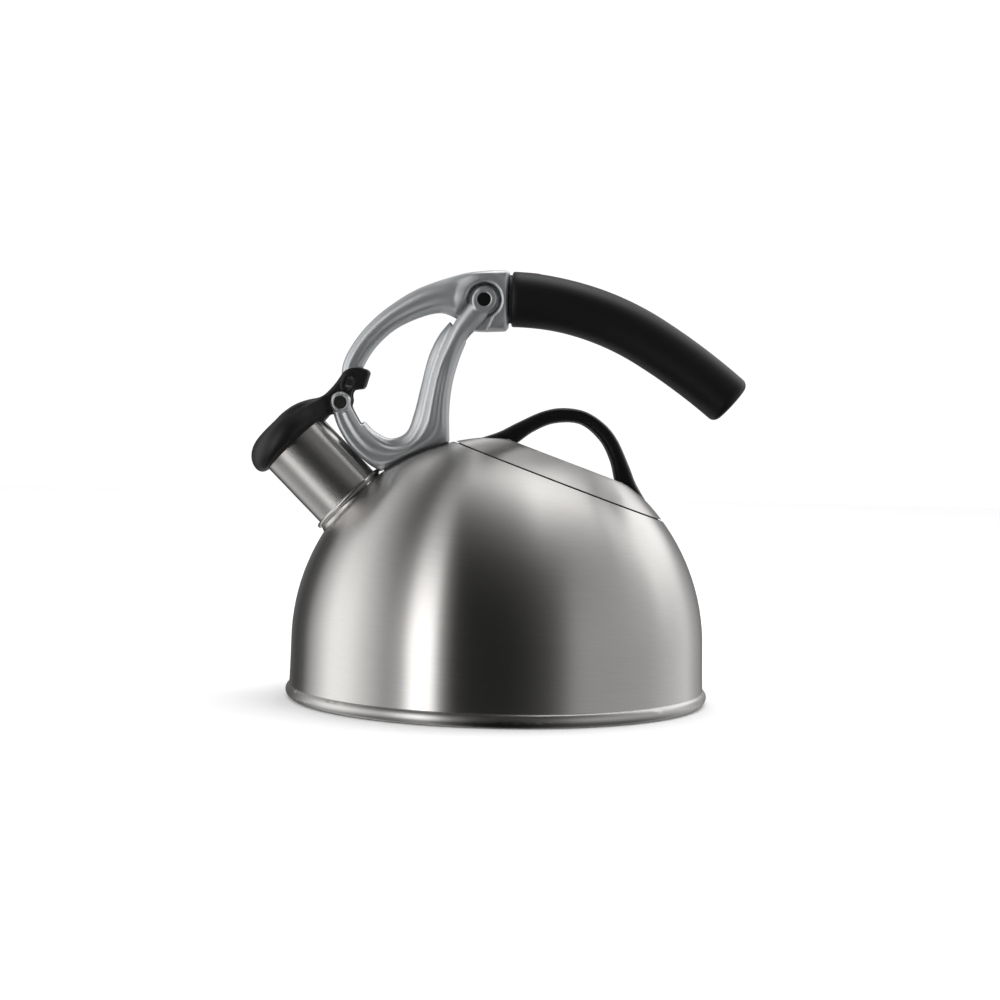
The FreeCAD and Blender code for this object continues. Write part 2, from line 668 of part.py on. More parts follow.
def bracket():
    """Cast fork that carries the handle and the spout lid."""
    web = slab(web_outline(), -BRACKET_GAP, BRACKET_GAP)
    cheek = slab(cheek_outline(), BRACKET_GAP, BRACKET_HALF_W).fuse([
        side_rod(EYE_R, PIVOT, BRACKET_GAP, BRACKET_HALF_W),
        side_rod(LEVER_EYE_R, LEVER_PIVOT, BRACKET_GAP, BRACKET_HALF_W),
    ])
    casting = web.fuse(both_sides(cheek)).cut(dome_ball(DOME_R + FOOT_GASKET_T))
    sinks = [
        side_rod(PIVOT_CAP_R + THREAD_FIT, PIVOT, BRACKET_HALF_W - PIVOT_CAP_T, FAR),
        side_rod(LEVER_HEAD_R + THREAD_FIT, LEVER_PIVOT, BRACKET_HALF_W - LEVER_HEAD_T, FAR),
    ]
    for sink in sinks:
        casting = casting.cut(both_sides(sink))
    bores = [cross_rod(PIVOT_R + THREAD_FIT, PIVOT), cross_rod(LEVER_PIN_R + THREAD_FIT, LEVER_PIVOT)]
    return casting.cut(bores + bracket_holes()).cut(collar_room())


def collar_room():
    """Keeps the bracket's foot off the spout's collar and tube."""
    low = COLLAR_S - FOOT_LENGTH / 2
    flare = spout_rod(COLLAR_R + COLLAR_FLARE + THREAD_FIT, low, COLLAR_S)
    ring = spout_rod(COLLAR_R + SEAL_FIT, low, COLLAR_S + COLLAR_T + SEAL_FIT)
    return flare.fuse([ring, spout_rod(TUBE_R + SEAL_FIT, low, MOUTH_S)])


def bracket_gasket():
    """Thin black pad between the bracket's foot and the dome."""
    pad = foot_patch(FOOT_LENGTH, 2 * BRACKET_HALF_W, DOME_R, DOME_R + FOOT_GASKET_T)
    return pad.cut(bracket_holes()).cut(collar_room())


def backing_plate():
    """Stiffening plate inside the dome, under the bracket's screws."""
    length, width = FOOT_LENGTH - 2 * BACKING_MARGIN, 2 * BRACKET_HALF_W - BACKING_MARGIN
    plate = foot_patch(length, width, BACKING_R, DOME_R - SHEET)
    return plate.cut(bracket_holes()).cut(spout_rod(TUBE_R + SEAL_FIT, -FOOT_LENGTH, MOUTH_S))


def bracket_washers():
    """Silicone washers between the backing plate and the screw heads."""
    under = SCREW_SEAT_W - WASHER_T
    discs = [rod(BRACKET_WASHER_R, *screw_line(side, under, SCREW_SEAT_W)) for side in (-1, 1)]
    return Part.makeCompound(discs).cut(bracket_holes())


def bracket_screws():
    return Part.makeCompound([
        screw(BRACKET_HEAD_R, BRACKET_HEAD_T, BRACKET_SCREW_R,
              *screw_line(side, SCREW_SEAT_W - WASHER_T, DOME_R + BRACKET_BITE)) for side in (-1, 1)])


def pivot_pin():
    return cross_rod(PIVOT_R, PIVOT, BRACKET_HALF_W - PIVOT_CAP_T)


def pivot_caps():
    """Black plugs that close the two ends of the pivot's bore."""
    cap = side_rod(PIVOT_CAP_R, PIVOT, BRACKET_HALF_W - PIVOT_CAP_T, BRACKET_HALF_W - HEAD_SINK)
    return Part.makeCompound(both_sides(cap))


def lever_pin():
    """Pin of the spout lid, headed in the bracket's cheeks."""
    outer = BRACKET_HALF_W - HEAD_SINK
    head = side_rod(LEVER_HEAD_R, LEVER_PIVOT, BRACKET_HALF_W - LEVER_HEAD_T, outer)
    return cross_rod(LEVER_PIN_R, LEVER_PIVOT, outer).fuse(both_sides(head))


# ---- Handle ----
HEAD_X = PIVOT[0] + HEAD_REACH
POCKET_Y = BRACKET_GAP - HUB_FIT


def arm_outline():
    """Side outline of the arm's beam and head; the round tip is added to it."""
    top = from_foot((-35.8, 34.5), (-35.5, 41.6), (-32.1, 49.6), (-25.3, 59.2), (-14.9, 69.0), (0.4, 78.7),
                    (19.3, 85.3), (38.7, 87.5))
    low = from_foot((29.7, 58.9), (23.2, 60.2), (18.4, 64.4), (10.2, 67.0), (-0.3, 64.2), (-11.3, 58.4),
                    (-20.1, 49.8), (-25.9, 40.0), (-28.6, 32.5))
    corner, chamfer = (HEAD_X, low[0][1]), 1.8
    end = lines(top[-1], (HEAD_X, top[-1][1]), (HEAD_X, corner[1] + chamfer), (HEAD_X - chamfer, corner[1]),
                low[0])
    return [curve(*top), *end, curve(*low), line(low[-1], top[0])]


def arm_width():
    """The arm's width laid out along its lean: thin at the tip and full at the head."""
    start = Placement(vec(from_foot((0, 0))[0]), Rotation(Y_AXIS, -ARM_LEAN))
    half = [(-60.0, ARM_TIP_HALF_W), (10.0, ARM_TIP_HALF_W), (22.0, ARM_TIP_HALF_W + 2.4),
            (44.0, ARM_HALF_W - 2.5), (62.0, ARM_HALF_W), (120.0, ARM_HALF_W)]
    plan = [V(d, w, 0) for d, w in half] + [V(d, -w, 0) for d, w in reversed(half)]
    prism = Part.Face(Part.makePolygon(plan + plan[:1])).extrude(V(0, 0, 2 * FAR))
    prism.translate(V(0, 0, -FAR))
    return placed(prism, start)


def hub_pocket():
    """Room in one side of the head for the bracket's eye and upright, over the handle's travel."""
    leg = from_foot((22.1, 76.6), (37.7, 67.0), (31.7, 49.6), (6.7, 44.6), (13.7, 64.6))
    return side_rod(EYE_R + POCKET_GAP, PIVOT, POCKET_Y, FAR).fuse(slab(closed(leg), POCKET_Y, FAR))


def handle_arm():
    """Cast arm: head over the main pivot, beam down to the spout lid, tang for the grip."""
    arm = slab(arm_outline(), -ARM_HALF_W, ARM_HALF_W).common(arm_width())
    arm = arm.fuse(cross_rod(ARM_TIP_R, LINK, ARM_TIP_HALF_W))
    for pocket in both_sides(hub_pocket()):
        arm = arm.cut(pocket)
    arm = arm.fuse(tang())
    bores = [cross_rod(PIVOT_R + BUSH_WALL + THREAD_FIT, PIVOT), cross_rod(LINK_R + THREAD_FIT, LINK)]
    return arm.cut(bores + roll_pin_holes()).removeSplitter()


def hub_bushes():
    """Two flanged nylon bushes in the arm's hub, which run on the pivot pin."""
    sleeve = side_rod(PIVOT_R + BUSH_WALL, PIVOT, POCKET_Y - BUSH_LENGTH, POCKET_Y)
    flange = side_rod(EYE_R - BUSH_WALL / 2, PIVOT, POCKET_Y, BRACKET_GAP - BUSH_FIT)
    bush = sleeve.fuse(flange).cut(cross_rod(PIVOT_R + BUSH_FIT, PIVOT))
    return Part.makeCompound(both_sides(bush))


def link_pin():
    return cross_rod(LINK_R, LINK, LEVER_HALF_W - HEAD_SINK)


# ---- Grip ----
GRIP_LENGTH = sum(radius * math.radians(angle) for radius, angle in GRIP_BENDS)


def grip_frame(distance):
    """Frame on the grip's centreline: x runs along it, z points out of its upper side."""
    frame = Placement(V(HEAD_X, 0, PIVOT[1] + GRIP_RISE), Rotation())
    for radius, angle in GRIP_BENDS:
        part = min(distance, radius * math.radians(angle))
        turn = part / radius
        step = V(radius * math.sin(turn), 0, radius * (math.cos(turn) - 1))
        frame = frame.multiply(Placement(step, Rotation(Y_AXIS, math.degrees(turn))))
        distance -= part
    return frame


def grip_bar(inset_h, inset_w, start, end):
    """Oval bar along the grip's centreline, between two distances from its start."""
    axes = sorted([V(0, GRIP_HALF_W - inset_w, 0), V(0, 0, GRIP_HALF_H - inset_h)], key=lambda p: -p.Length)
    section = Part.Face(Part.Wire([Part.Ellipse(axes[0], axes[1], V(0, 0, 0)).toShape()]))
    pieces, reached = [], 0.0
    for radius, angle in GRIP_BENDS:
        length = radius * math.radians(angle)
        low = start if reached == 0.0 else max(start, reached)
        high = min(end, reached + length)
        if high > low:
            frame = grip_frame(low)
            centre = frame.multVec(V(0, 0, -radius))
            pieces.append(placed(section, frame).revolve(centre, Y_AXIS, math.degrees((high - low) / radius)))
        reached += length
    return pieces[0].fuse(pieces[1:]).removeSplitter() if len(pieces) > 1 else pieces[0]


def tang():
    return grip_bar(GRIP_HALF_H - TANG_HALF_H, GRIP_HALF_W - TANG_HALF_W, -TANG_ROOT, TANG_LENGTH)


def roll_pin(distance, fit=0.0):
    place = grip_frame(distance).Base
    half_length = GRIP_HALF_W - SLEEVE_T - ROLL_PIN_SINK
    return cross_rod(ROLL_PIN_R + fit, (place.x, place.z), half_length + fit)


def roll_pin_holes():
    return [roll_pin(distance, THREAD_FIT) for distance in ROLL_PIN_AT]


def roll_pins():
    return Part.makeCompound([roll_pin(distance) for distance in ROLL_PIN_AT])


def grip_core():
    """Nylon core over the tang."""
    core = grip_bar(SLEEVE_T, SLEEVE_T, RING_GAP, GRIP_LENGTH - SLEEVE_END_T)
    return core.cut([tang()] + roll_pin_holes())


def grip_ring():
    """Black spacer between the arm's head and the grip."""
    return grip_bar(RING_INSET, RING_INSET, 0, RING_GAP).cut(tang())


def inlay_pocket():
    """Small plain stadium, let into the top of the sleeve near its front."""
    half, r = INLAY_LENGTH / 2, INLAY_W / 2
    corners = [V(-half + r, -r, 0), V(half - r, -r, 0), V(half - r, r, 0), V(-half + r, r, 0)]
    edges = [
        Part.LineSegment(corners[0], corners[1]).toShape(),
        Part.Arc(corners[1], V(half, 0, 0), corners[2]).toShape(),
        Part.LineSegment(corners[2], corners[3]).toShape(),
        Part.Arc(corners[3], V(-half, 0, 0), corners[0]).toShape(),
    ]
    prism = Part.Face(Part.Wire(edges)).extrude(V(0, 0, 2 * GRIP_HALF_H))
    under_top = grip_bar(INLAY_T, INLAY_T, 0, INLAY_AT + INLAY_LENGTH)
    return placed(prism, grip_frame(INLAY_AT)).cut(under_top)


def grip_sleeve():
    """Soft sleeve over the core, closed and rounded at the tail."""
    sleeve = grip_bar(0, 0, RING_GAP, GRIP_LENGTH)
    tail = grip_frame(GRIP_LENGTH).Base
    rim = [e for e in sleeve.Edges if (e.CenterOfMass - tail).Length < SLEEVE_TAIL_R]
    sleeve = sleeve.makeFillet(SLEEVE_TAIL_R, rim)
    core_room = grip_bar(SLEEVE_T, SLEEVE_T, RING_GAP, GRIP_LENGTH - SLEEVE_END_T)
    return sleeve.cut([core_room, inlay_pocket()])


def grip_inlay():
    return inlay_pocket().common(grip_bar(0, 0, RING_GAP, INLAY_AT + INLAY_LENGTH))


def build():
    shell = body_shell()
    parts = {
        "body_shell": shell,
        "base_pan": base_pan(shell),
        "heat_disc": heat_disc(),
        "neck_ring": neck_ring(),
        "spout_tube": spout_tube(),
        "spout_collar": spout_collar(),
        "bracket": bracket(),
        "bracket_gasket": bracket_gasket(),
        "backing_plate": backing_plate(),
        "bracket_washers": bracket_washers(),
        "bracket_screws": bracket_screws(),
        "pivot_pin": pivot_pin(),
        "pivot_caps": pivot_caps(),
        "lever_pin": lever_pin(),
        "spout_cap": spout_cap(),
        "whistle_plate": whistle_plate(),
        "whistle_cup": whistle_cup(),
        "spout_seal": spout_seal(),
        "cap_screws": cap_screws(),
        "handle_arm": handle_arm(),
        "hub_bushes": hub_bushes(),
        "link_pin": link_pin(),
        "grip_core": grip_core(),
        "grip_ring": grip_ring(),
        "grip_sleeve": grip_sleeve(),
        "grip_inlay": grip_inlay(),
        "roll_pins": roll_pins(),
        "lid_shell": lid_shell(),
        "lid_ring": lid_ring(),
        "lid_gasket": lid_gasket(),
        "lid_handle": lid_handle(),
        "lid_screws": lid_screws(),
        "lid_washers": lid_washers(),
    }
    os.makedirs("parts", exist_ok=True)
    for name, shape in parts.items():
        shape.exportStep(f"parts/{name}.step")
        volume = sum(solid.Volume for solid in shape.Solids)
        print(f"{name}: {len(shape.Solids)} solid(s), valid {shape.isValid()}, {volume:.1f} mm3")


build()
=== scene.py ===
import json
import math

import bpy
import numpy as np
from mathutils import Matrix, Vector

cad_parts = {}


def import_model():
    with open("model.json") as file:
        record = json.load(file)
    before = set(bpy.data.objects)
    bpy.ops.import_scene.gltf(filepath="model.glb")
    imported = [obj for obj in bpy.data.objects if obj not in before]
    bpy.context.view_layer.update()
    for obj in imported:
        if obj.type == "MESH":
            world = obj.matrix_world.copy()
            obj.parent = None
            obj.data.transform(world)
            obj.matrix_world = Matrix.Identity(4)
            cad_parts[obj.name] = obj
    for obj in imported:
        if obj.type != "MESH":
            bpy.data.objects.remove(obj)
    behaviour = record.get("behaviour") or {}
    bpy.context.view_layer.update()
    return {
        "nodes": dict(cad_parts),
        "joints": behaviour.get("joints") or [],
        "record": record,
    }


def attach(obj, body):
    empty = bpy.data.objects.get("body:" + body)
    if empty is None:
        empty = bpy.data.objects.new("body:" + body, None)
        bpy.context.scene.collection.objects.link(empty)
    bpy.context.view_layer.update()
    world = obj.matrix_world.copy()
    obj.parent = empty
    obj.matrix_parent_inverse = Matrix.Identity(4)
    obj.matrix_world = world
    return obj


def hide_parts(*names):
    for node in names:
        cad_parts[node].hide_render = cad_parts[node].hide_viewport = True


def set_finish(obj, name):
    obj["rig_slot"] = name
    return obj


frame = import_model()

# A stovetop whistling kettle. Sizes are in millimetres and are turned to metres as meshes are
# made. +X runs from the spout to the grip, +Z is up, and the object mirrors across y = 0.

MM = 0.001
JOINTS = {joint["name"]: joint for joint in frame["joints"]}
PIVOT = np.array(JOINTS["handle_lift"]["pos_m"]) / MM
LEVER_PIVOT = np.array(JOINTS["spout_lid_hinge"]["pos_m"]) / MM
LID_AXIS = Vector(JOINTS["lid_lift"]["axis"])

FOOT = (PIVOT[0] - 31.0, PIVOT[2] - 73.4)  # middle of the bracket's foot, on the dome
DOME_R, DOME_Z = 97.7, 26.6  # the dome's outside radius, and the height of its centre
BRACKET_GAP, BRACKET_HALF_W = 6.3, 9.5  # from the middle out to the cheeks' inner and outer sides
PIVOT_EYE_R, LEVER_EYE_R = 6.6, 5.0  # the bracket's two eyes
PIVOT_BORE, LEVER_BORE = (3.15, 8.2), (3.0, 8.6)  # radius of each pin's recess, and where its floor is
DOME_CLEAR, TUBE_CLEAR = 0.6, 0.7  # room between the bracket and the steel below it
SPOUT_X, TUBE_R, MOUTH_S = -37.85, 17.6, 42.8  # the tube's axis, radius and mouth, from the foot
SPOUT_AXIS = Vector((-1, 0, 1)).normalized()
LID_TOP_W = DOME_R - 5.5  # the lid's flat top, along its axis from the dome's centre
LID_BLEND_R = 14.0  # the round between the lid's flat top and its skirt
HEAD_X = PIVOT[0] + 11.9  # the flat end of the handle's head
ARM_TIP_R = 3.9
ARM_LEAN = 35.0  # degrees above level, along which the arm grows
POCKET_R = 8.0  # room in the head for the bracket's eye
GROOVE_R, GROOVE_HALF_W, GROOVE_FLOOR = 7.55, 0.55, 2.5  # round the eye, its floor from the middle
CAP_OFFSET, CAP_R, CAP_T = -1.2, 20.8, 14.1  # the cap's centre across the spout, radius and top
CAP_LIFT, CAP_CLEAR = 0.3, 0.4  # above the tube's mouth, and round the tube
PLATE_R, SEAT_DEPTH = 17.4, 1.5  # the whistle's plate, and how far its seat runs into the cap
LINK_R, SLOT_HALF_W, LEVER_PIN_R = 1.7, 2.05, 2.05  # the link pin, its slot, the lever pin's hole
LEVER_HALF_GAP, LEVER_HALF_W = 3.5, 6.0  # from the middle to the insides and outsides of the fork
GRIP_BENDS = ((130.0, 31.0), (300.0, 9.4))  # radius and angle of each bend in turn
GRIP_HALF_H, GRIP_HALF_W = 13.15, 13.5
GRIP_RISE = 0.9  # its centreline starts this far above the main pivot
GRID_STEP = 0.42  # between the places where a shape's field is worked out
CURVE_STEPS = 12  # straight runs between two of a smooth outline's points


# ---- Fields: shapes as signed distances on a grid, in millimetres and negative inside ----
def from_foot(*offsets):
    """(x, z) places given as offsets from the middle of the bracket's foot."""
    return [(FOOT[0] + x, FOOT[1] + z) for x, z in offsets]


LINK = from_foot((-32.1, 33.3))[0]  # middle of the link pin, at rest


def smooth(points):
    """Points of a smooth curve through the given ones."""
    p = np.array([points[0], *points, points[-1]], float)
    p[0], p[-1] = 2 * p[1] - p[2], 2 * p[-2] - p[-3]
    out = []
    for a, b, c, d in zip(p, p[1:], p[2:], p[3:]):
        for t in np.linspace(0, 1, CURVE_STEPS, endpoint=False):
            out.append(0.5 * (2 * b + (c - a) * t + (2 * a - 5 * b + 4 * c - d) * t**2
                              + (3 * b - a - 3 * c + d) * t**3))
    return [tuple(q) for q in out] + [tuple(p[-2])]


def run_distance(path, x, z):
    """Distance from each place to a run of points."""
    best = np.full(x.shape, 1e9)
    for (ax, az), (bx, bz) in zip(path, path[1:]):
        dx, dz = bx - ax, bz - az
        t = np.clip(((x - ax) * dx + (z - az) * dz) / (dx * dx + dz * dz + 1e-12), 0, 1)
        best = np.minimum(best, np.hypot(x - ax - t * dx, z - az - t * dz))
    return best


def outline_distance(path, x, z):
    """Signed distance to a closed outline, negative inside."""
    path = list(path) + [path[0]]
    crossings = np.zeros(x.shape, int)
    for (ax, az), (bx, bz) in zip(path, path[1:]):
        if az != bz:
            spans = (az <= z) != (bz <= z)
            crossings += spans & (x < ax + (z - az) * (bx - ax) / (bz - az))
    return np.where(crossings % 2 == 1, -1, 1) * run_distance(path, x, z)


def soft_max(a, b, k):
    """Greater of two fields, with the corner between them rounded over a width of k."""
    h = np.maximum(k - np.abs(a - b), 0) / k
    return np.maximum(a, b) + h * h * k / 4


def soft_min(a, b, k):
    """Lesser of two fields, with the corner between them filled over a width of k."""
    return -soft_max(-a, -b, k)


def pad(distance, low, high, edge):
    """Height of a pad that rises from low at its outline to high, rounded over the edge."""
    t = np.clip(-distance / edge, 0, 1)
    return low + (high - low) * np.sqrt(1 - (1 - t) ** 2)


def ease(t):
    """Smooth step from 0 to 1."""
    t = np.clip(t, 0, 1)
    return t * t * (3 - 2 * t)


def grid(low, high):
    """Axes of a box of places, and their coordinates ready to be combined."""
    axes = [np.arange(a, b + GRID_STEP, GRID_STEP) for a, b in zip(low, high)]
    return axes, np.meshgrid(*axes, indexing="ij", sparse=True)


def side_view(x, z):
    """The grid's places as seen from the side, without its width."""
    return x[:, 0, :] + 0 * z[:, 0, :], z[:, 0, :] + 0 * x[:, 0, :]


def widen(flat, y):
    """Carries a field of the side view across the grid's width."""
    return flat[:, None, :] + 0 * y


def distance_from(centre, x, z):
    return np.hypot(x - centre[0], z - centre[-1])


def surface(name, field, axes):
    """Mesh of a field's zero surface: one point in each cell that it crosses."""
    low = np.array([a[0] for a in axes])
    step = axes[0][1] - axes[0][0]
    nx, ny, nz = (n - 1 for n in field.shape)
    corners = {(i, j, k): field[i:nx + i, j:ny + j, k:nz + k] for i in (0, 1) for j in (0, 1) for k in (0, 1)}
    count = sum((c < 0).astype(int) for c in corners.values())
    active = (count > 0) & (count < 8)
    index = np.full(active.shape, -1)
    index[active] = np.arange(active.sum())
    total, hits = np.zeros((active.sum(), 3)), np.zeros(active.sum())
    for start in corners:
        for axis in range(3):
            if start[axis] == 0:
                end = tuple(1 if n == axis else start[n] for n in range(3))
                a, b = corners[start][active], corners[end][active]
                crossed = (a < 0) != (b < 0)
                t = np.where(crossed, a / np.where(crossed, a - b, 1), 0)
                place = np.tile(np.array(start, float), (len(a), 1))
                place[:, axis] = t
                total += place * crossed[:, None]
                hits += crossed
    cells = np.argwhere(active)
    points = low + step * (cells + total / hits[:, None])
    faces = []
    for axis in range(3):
        u, v = (axis + 1) % 3, (axis + 2) % 3
        a = np.take(field, range(field.shape[axis] - 1), axis)
        b = np.take(field, range(1, field.shape[axis]), axis)
        for forward in (True, False):
            edges = np.argwhere((a < 0) & (b >= 0) if forward else (a >= 0) & (b < 0))
            edges = edges[(edges[:, u] > 0) & (edges[:, v] > 0)]
            edges = edges[(edges[:, u] < field.shape[u] - 1) & (edges[:, v] < field.shape[v] - 1)]
            quad = []
            for du, dv in ((1, 1), (0, 1), (0, 0), (1, 0)):
                cell = edges.copy()
                cell[:, u] -= du
                cell[:, v] -= dv
                quad.append(index[tuple(cell.T)])
            quad = np.array(quad).T
            faces.append(quad if forward else quad[:, ::-1])
    return mesh_object(name, points, np.concatenate(faces))


def mesh_object(name, points, faces, relax=2):
    """Smooth-shaded object from points in millimetres and faces, evened out a little."""
    mesh = bpy.data.meshes.new(name)
    mesh.from_pydata((np.array(points) * MM).tolist(), [], [list(map(int, f)) for f in faces])
    mesh.update()
    if relax:
        even_out(mesh, relax)
    mesh.shade_smooth()
    obj = bpy.data.objects.new(name, mesh)
    bpy.context.scene.collection.objects.link(obj)
    return obj


def even_out(mesh, rounds):
    """Averages each point with its neighbours, then pushes back so that the piece doesn't shrink."""
    n = len(mesh.vertices)
    co = np.empty(n * 3)
    mesh.vertices.foreach_get("co", co)
    co = co.reshape(-1, 3)
    edges = np.empty(len(mesh.edges) * 2, int)
    mesh.edges.foreach_get("vertices", edges)
    a, b = edges.reshape(-1, 2).T
    degree = np.bincount(np.concatenate([a, b]), minlength=n)[:, None]
    for weight in (0.6, -0.62) * rounds:
        total = np.zeros((n, 3))
        for axis in range(3):
            total[:, axis] = np.bincount(a, co[b, axis], n) + np.bincount(b, co[a, axis], n)
        co += weight * (total / np.maximum(degree, 1) - co)
    mesh.vertices.foreach_set("co", co.ravel())


# ---- Bracket ----
def bore(x, y, z, centre, radius, floor):
    """Field of a round recess that runs outward from a floor, on both sides."""
    return np.maximum(distance_from(centre, x, z) - radius, floor - y)


def spout_coordinates(x, z):
    """Places across and along the spout, measured from the bracket's foot."""
    dx, dz = x - FOOT[0], z - FOOT[1]
    return (dx + dz) * math.sqrt(0.5), (dz - dx) * math.sqrt(0.5)


def finish_piece(piece, body, slot_name, *nodes):
    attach(piece, body)
    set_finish(piece, slot_name)
    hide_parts(*nodes)
    return piece


def bracket():
    """Casting with two rounded cheeks on a thin web: an upright, a foot on the dome and a finger."""
    finger = smooth(from_foot((-40.4, 24.0), (-39.5, 18.0), (-36.7, 10.5), (-31.3, 2.2), (-23.9, -4.5),
                              (-15.6, -9.2)))
    inner = smooth(from_foot((-30.9, 23.6), (-28.7, 19.0), (-23.3, 10.8), (-16.8, 5.4), (-9.8, 3.3),
                             (-2.7, 6.0), (2.1, 14.1), (4.7, 25.6), (7.5, 38.6), (11.4, 50.6), (17.1, 63.2),
                             (26.4, 76.4)))
    back = smooth(from_foot((35.6, 69.2), (30.7, 62.2), (23.7, 55.0), (18.7, 44.8), (15.8, 33.4),
                            (14.7, 20.6), (15.9, 6.0)))
    below = from_foot((18.7, -7.4), (-11.3, -20.4))
    web_inner = smooth(from_foot((-24.5, 14.8), (-19.6, 10.2), (-12.0, 7.0), (-4.5, 10.2), (-0.9, 19.6),
                                 (2.2, 33.1), (5.3, 46.1), (9.7, 55.9), (15.1, 63.0)))
    web_back = smooth(from_foot((22.9, 53.8), (19.6, 44.8), (16.7, 33.4), (15.5, 20.6), (15.9, 6.0)))
    web_front = smooth(from_foot((-15.6, -9.2), (-22.8, -5.0), (-29.3, 1.2), (-33.3, 9.1)))
    axes, (x, y, z) = grid((-84, -10.5, 99), (-1, 10.5, 197))
    x2, z2 = side_view(x, z)
    y3 = np.abs(y)
    hub, eye = distance_from(PIVOT, x2, z2), distance_from(LEVER_PIVOT, x2, z2)
    limbs = outline_distance(finger[::-1] + inner + back + below, x2, z2)
    cheek = soft_min(soft_min(limbs, hub - PIVOT_EYE_R, 1.5), eye - (LEVER_EYE_R + 0.1), 1.5)
    web = outline_distance(web_inner + web_back + below + web_front, x2, z2)

    # The cheeks are rounded between their inner and outer edges, with a valley low on the upright.
    to_inner = run_distance(inner, x2, z2)
    to_outer = np.minimum(run_distance(finger, x2, z2), run_distance(back, x2, z2))
    to_dome = np.maximum(np.sqrt(x2**2 + (z2 - DOME_Z) ** 2) - DOME_R, 0)
    to_outer = np.maximum(soft_min(to_outer, to_dome, 9.0), 0)
    share = to_inner / (to_inner + to_outer + 1e-6)
    bulge = np.clip(1 - np.abs(2 * share - 1) ** 2.2, 0, 1)
    valley = np.exp(-((share - 0.56) / 0.17) ** 2) * (1 - ease((z2 - FOOT[1] - 34) / 22))
    valley = valley * ease((LEVER_PIVOT[2] + 12 - z2 + 0.6 * (x2 - LEVER_PIVOT[0])) / 14)
    height = BRACKET_GAP + 0.2 + 2.9 * bulge - valley
    boss = pad(soft_min(hub - PIVOT_EYE_R, eye - LEVER_EYE_R, 1.0), 3.0, BRACKET_HALF_W, 1.3)
    height = np.minimum(soft_max(height, boss, 2.4), BRACKET_HALF_W + 0.15)
    cheeks = soft_max(widen(cheek, y), y3 - widen(height, 0), 1.8)
    cheeks = soft_max(cheeks, BRACKET_GAP - y3, 0.5)
    plate = pad(web, BRACKET_GAP - 3.2, BRACKET_GAP - 0.2, 3.4)
    plates = soft_max(widen(web, y), y3 - widen(plate, 0), 0.6)
    field = soft_min(cheeks, plates, 2.6)

    # It is cut clear of the dome and the tube, and bored for the ends of its two pins.
    across, _ = spout_coordinates(x, z)
    dome = np.sqrt(x**2 + y**2 + (z - DOME_Z) ** 2) - (DOME_R + DOME_CLEAR)
    tube = np.hypot(across - SPOUT_X, y) - (TUBE_R + TUBE_CLEAR)
    for cut in (dome, tube, bore(x, y3, z, PIVOT, *PIVOT_BORE), bore(x, y3, z, LEVER_PIVOT, *LEVER_BORE)):
        field = np.maximum(field, -cut)
    piece = surface("bracket_casting", field, axes)
    return finish_piece(piece, "kettle_body", "cast_metal", "bracket")


